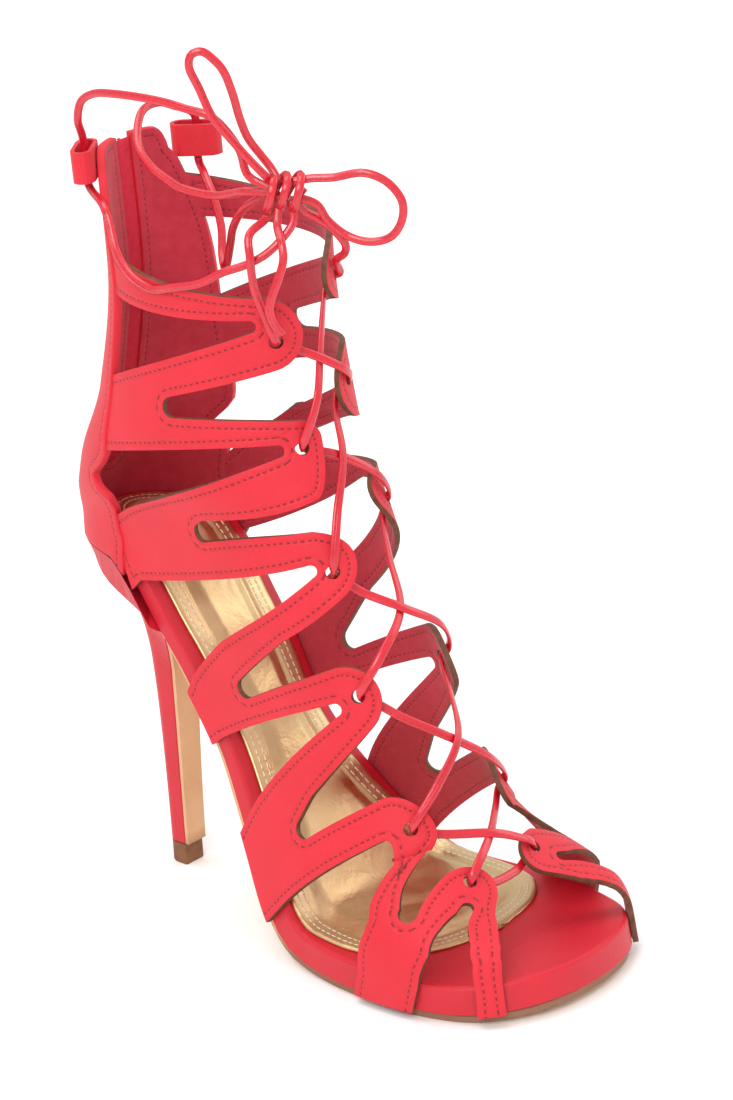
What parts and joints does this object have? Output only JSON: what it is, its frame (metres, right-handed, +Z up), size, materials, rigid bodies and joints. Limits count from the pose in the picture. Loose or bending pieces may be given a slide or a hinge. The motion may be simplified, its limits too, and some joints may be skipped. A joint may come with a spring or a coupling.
{
  "type": "lace up heel",
  "caption": "Red strappy sandal with a slim high heel, cut-out lattice sides, gold insole, closed zip counter and a lace tied in a bow",
  "frame": {"origin": "middle of the heel tip's underside, on the floor", "axes": "+X to the toe, +Y to the inner side of the foot, +Z up"},
  "size_m": [0.1981, 0.0881, 0.2888],
  "materials": {
    "tan_leather": "smooth leather",
    "red_wrap": "fine nubuck",
    "gold_foil": "metallic foil",
    "brown_rubber": "matt",
    "red_suede": "soft nubuck with dark edges",
    "red_tape": "woven tape with a chain",
    "steel": "polished",
    "red_lace": "folded and stitched, slightly glossy"
  },
  "bodies": {
    "shoe": {"outsole": "tan_leather", "platform": "red_wrap", "insole": "gold_foil", "heel": "red_wrap", "top_piece": "brown_rubber", "upper": "red_suede", "zip": "red_tape", "zip_slider": "steel", "loop_outer": "red_suede", "loop_inner": "red_suede", "lace_bar": "red_lace", "lace_cross_1": "red_lace", "lace_cross_2": "red_lace", "lace_cross_3": "red_lace", "lace_cross_4": "red_lace", "lace_cross_5": "red_lace", "lace_knot": "red_lace", "bow_tall": "red_lace", "bow_wide": "red_lace", "lace_outer": "red_lace", "lace_inner": "red_lace", "tie_outer": "red_lace", "tie_inner": "red_lace", "lace_end": "red_lace"},
    "pull_tab": {"zip_pull": "steel"}
  },
  "joints": [
    {"name": "pull_tab_hinge", "type": "hinge", "parent": "shoe", "child": "pull_tab", "pos_m": [-0.00857, 0, 0.23759], "axis": [0, 1, 0], "range_deg": [0, 110]}
  ]
}
